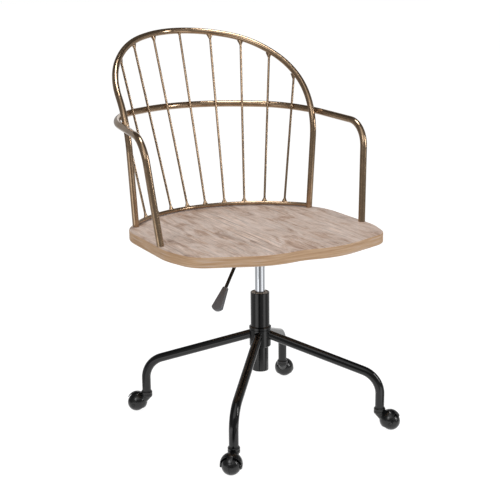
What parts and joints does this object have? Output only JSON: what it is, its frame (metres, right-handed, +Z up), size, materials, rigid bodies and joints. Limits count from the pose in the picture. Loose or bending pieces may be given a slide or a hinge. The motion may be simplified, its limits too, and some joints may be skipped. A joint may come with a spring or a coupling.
{
  "type": "swivel armchair",
  "caption": "Swivel armchair with a wooden seat, a bent-tube hoop and spindle back with arms, a gas column with a height lever and a four-legged base on ball casters.",
  "frame": {"origin": "on the floor, under the axis of the column, with the casters standing on Z = 0", "axes": "+Z is up, -Y is the front of the seat, +X is the right of someone who faces the chair; the base is turned 39.3 degrees under the seat, as in the picture"},
  "size_m": [0.5924, 0.7326, 0.9398],
  "materials": {
    "washed_wood": "whitewashed and brushed, matt",
    "bronze": "antique bronze, satin",
    "black_enamel": "gloss black",
    "black_plastic": "gloss black",
    "grey_plastic": "matt grey",
    "chrome": "polished",
    "bright_steel": "ground",
    "zinc_steel": "zinc plated"
  },
  "bodies": {
    "base": {"hub": "black_enamel", "hub_ring": "black_enamel", "column_tube": "black_enamel", "guide_bush": "grey_plastic", "end_plate": "zinc_steel", "thrust_bearing": "bright_steel", "caster_sockets": "zinc_steel", "leg_right": "black_enamel", "leg_rear": "black_enamel", "leg_left": "black_enamel", "leg_front": "black_enamel"},
    "gas_rod": {"piston_rod": "bright_steel", "thrust_washer": "bright_steel", "retaining_clip": "bright_steel"},
    "seat_unit": {"seat_panel": "washed_wood", "hoop": "bronze", "arm_rail": "bronze", "lower_rail": "bronze", "spindle_1": "bronze", "spindle_2": "bronze", "spindle_3": "bronze", "spindle_4": "bronze", "spindle_5": "bronze", "spindle_6": "bronze", "spindle_7": "bronze", "spindle_8": "bronze", "spindle_9": "bronze", "frame_plugs": "zinc_steel", "frame_bolts": "zinc_steel", "seat_screws": "zinc_steel", "seat_inserts": "zinc_steel", "mechanism_plate": "black_enamel", "mechanism_box": "black_enamel", "column_socket": "black_enamel", "lever_bracket": "black_enamel", "lever_pivot_pin": "zinc_steel", "gas_cylinder": "chrome"},
    "lever": {"lever_rod": "black_enamel", "lever_paddle": "black_plastic"},
    "release_pin": {"release_pin": "bright_steel"},
    "caster_right": {"caster_housing_right": "black_plastic", "caster_stem_right": "bright_steel", "caster_axle_right": "bright_steel"},
    "wheel_a_right": {"caster_wheel_a_right": "black_plastic"},
    "wheel_b_right": {"caster_wheel_b_right": "black_plastic"},
    "caster_rear": {"caster_housing_rear": "black_plastic", "caster_stem_rear": "bright_steel", "caster_axle_rear": "bright_steel"},
    "wheel_a_rear": {"caster_wheel_a_rear": "black_plastic"},
    "wheel_b_rear": {"caster_wheel_b_rear": "black_plastic"},
    "caster_left": {"caster_housing_left": "black_plastic", "caster_stem_left": "bright_steel", "caster_axle_left": "bright_steel"},
    "wheel_a_left": {"caster_wheel_a_left": "black_plastic"},
    "wheel_b_left": {"caster_wheel_b_left": "black_plastic"},
    "caster_front": {"caster_housing_front": "black_plastic", "caster_stem_front": "bright_steel", "caster_axle_front": "bright_steel"},
    "wheel_a_front": {"caster_wheel_a_front": "black_plastic"},
    "wheel_b_front": {"caster_wheel_b_front": "black_plastic"}
  },
  "joints": [
    {"name": "seat_swivel", "type": "hinge", "parent": "base", "child": "gas_rod", "pos_m": [0, 0, 0.2], "axis": [0, 0, 1], "continuous": true},
    {"name": "seat_height", "type": "slide", "parent": "gas_rod", "child": "seat_unit", "axis": [0, 0, 1], "range_m": [-0.06, 0.04]},
    {"name": "lever_lift", "type": "hinge", "parent": "seat_unit", "child": "lever", "pos_m": [-0.04113, -0.0206, 0.441], "axis": [-0.4478, 0.8942, 0], "range_deg": [0, 5.2], "stiffness_Nm_per_rad": 3, "springref_deg": -2.86},
    {"name": "pin_press", "type": "slide", "parent": "seat_unit", "child": "release_pin", "axis": [0, 0, -1], "range_m": [0, 0.0043]},
    {"name": "caster_swivel_right", "type": "hinge", "parent": "base", "child": "caster_right", "pos_m": [0.22743, -0.18615, 0.05], "axis": [0, 0, 1], "continuous": true},
    {"name": "wheel_spin_a_right", "type": "hinge", "parent": "caster_right", "child": "wheel_a_right", "pos_m": [0.24898, -0.20379, 0.022], "axis": [0.6334, 0.7738, 0], "continuous": true},
    {"name": "wheel_spin_b_right", "type": "hinge", "parent": "caster_right", "child": "wheel_b_right", "pos_m": [0.24898, -0.20379, 0.022], "axis": [0.6334, 0.7738, 0], "continuous": true},
    {"name": "caster_swivel_rear", "type": "hinge", "parent": "base", "child": "caster_rear", "pos_m": [0.18615, 0.22743, 0.05], "axis": [0, 0, 1], "continuous": true},
    {"name": "wheel_spin_a_rear", "type": "hinge", "parent": "caster_rear", "child": "wheel_a_rear", "pos_m": [0.20379, 0.24898, 0.022], "axis": [-0.7738, 0.6334, 0], "continuous": true},
    {"name": "wheel_spin_b_rear", "type": "hinge", "parent": "caster_rear", "child": "wheel_b_rear", "pos_m": [0.20379, 0.24898, 0.022], "axis": [-0.7738, 0.6334, 0], "continuous": true},
    {"name": "caster_swivel_left", "type": "hinge", "parent": "base", "child": "caster_left", "pos_m": [-0.22743, 0.18615, 0.05], "axis": [0, 0, 1], "continuous": true},
    {"name": "wheel_spin_a_left", "type": "hinge", "parent": "caster_left", "child": "wheel_a_left", "pos_m": [-0.24898, 0.20379, 0.022], "axis": [-0.6334, -0.7738, 0], "continuous": true},
    {"name": "wheel_spin_b_left", "type": "hinge", "parent": "caster_left", "child": "wheel_b_left", "pos_m": [-0.24898, 0.20379, 0.022], "axis": [-0.6334, -0.7738, 0], "continuous": true},
    {"name": "caster_swivel_front", "type": "hinge", "parent": "base", "child": "caster_front", "pos_m": [-0.18615, -0.22743, 0.05], "axis": [0, 0, 1], "continuous": true},
    {"name": "wheel_spin_a_front", "type": "hinge", "parent": "caster_front", "child": "wheel_a_front", "pos_m": [-0.20379, -0.24898, 0.022], "axis": [0.7738, -0.6334, 0], "continuous": true},
    {"name": "wheel_spin_b_front", "type": "hinge", "parent": "caster_front", "child": "wheel_b_front", "pos_m": [-0.20379, -0.24898, 0.022], "axis": [0.7738, -0.6334, 0], "continuous": true}
  ],
  "couplings": [
    {"joint": "pin_press", "follows": "lever_lift", "m_per_rad": 0.046}
  ]
}
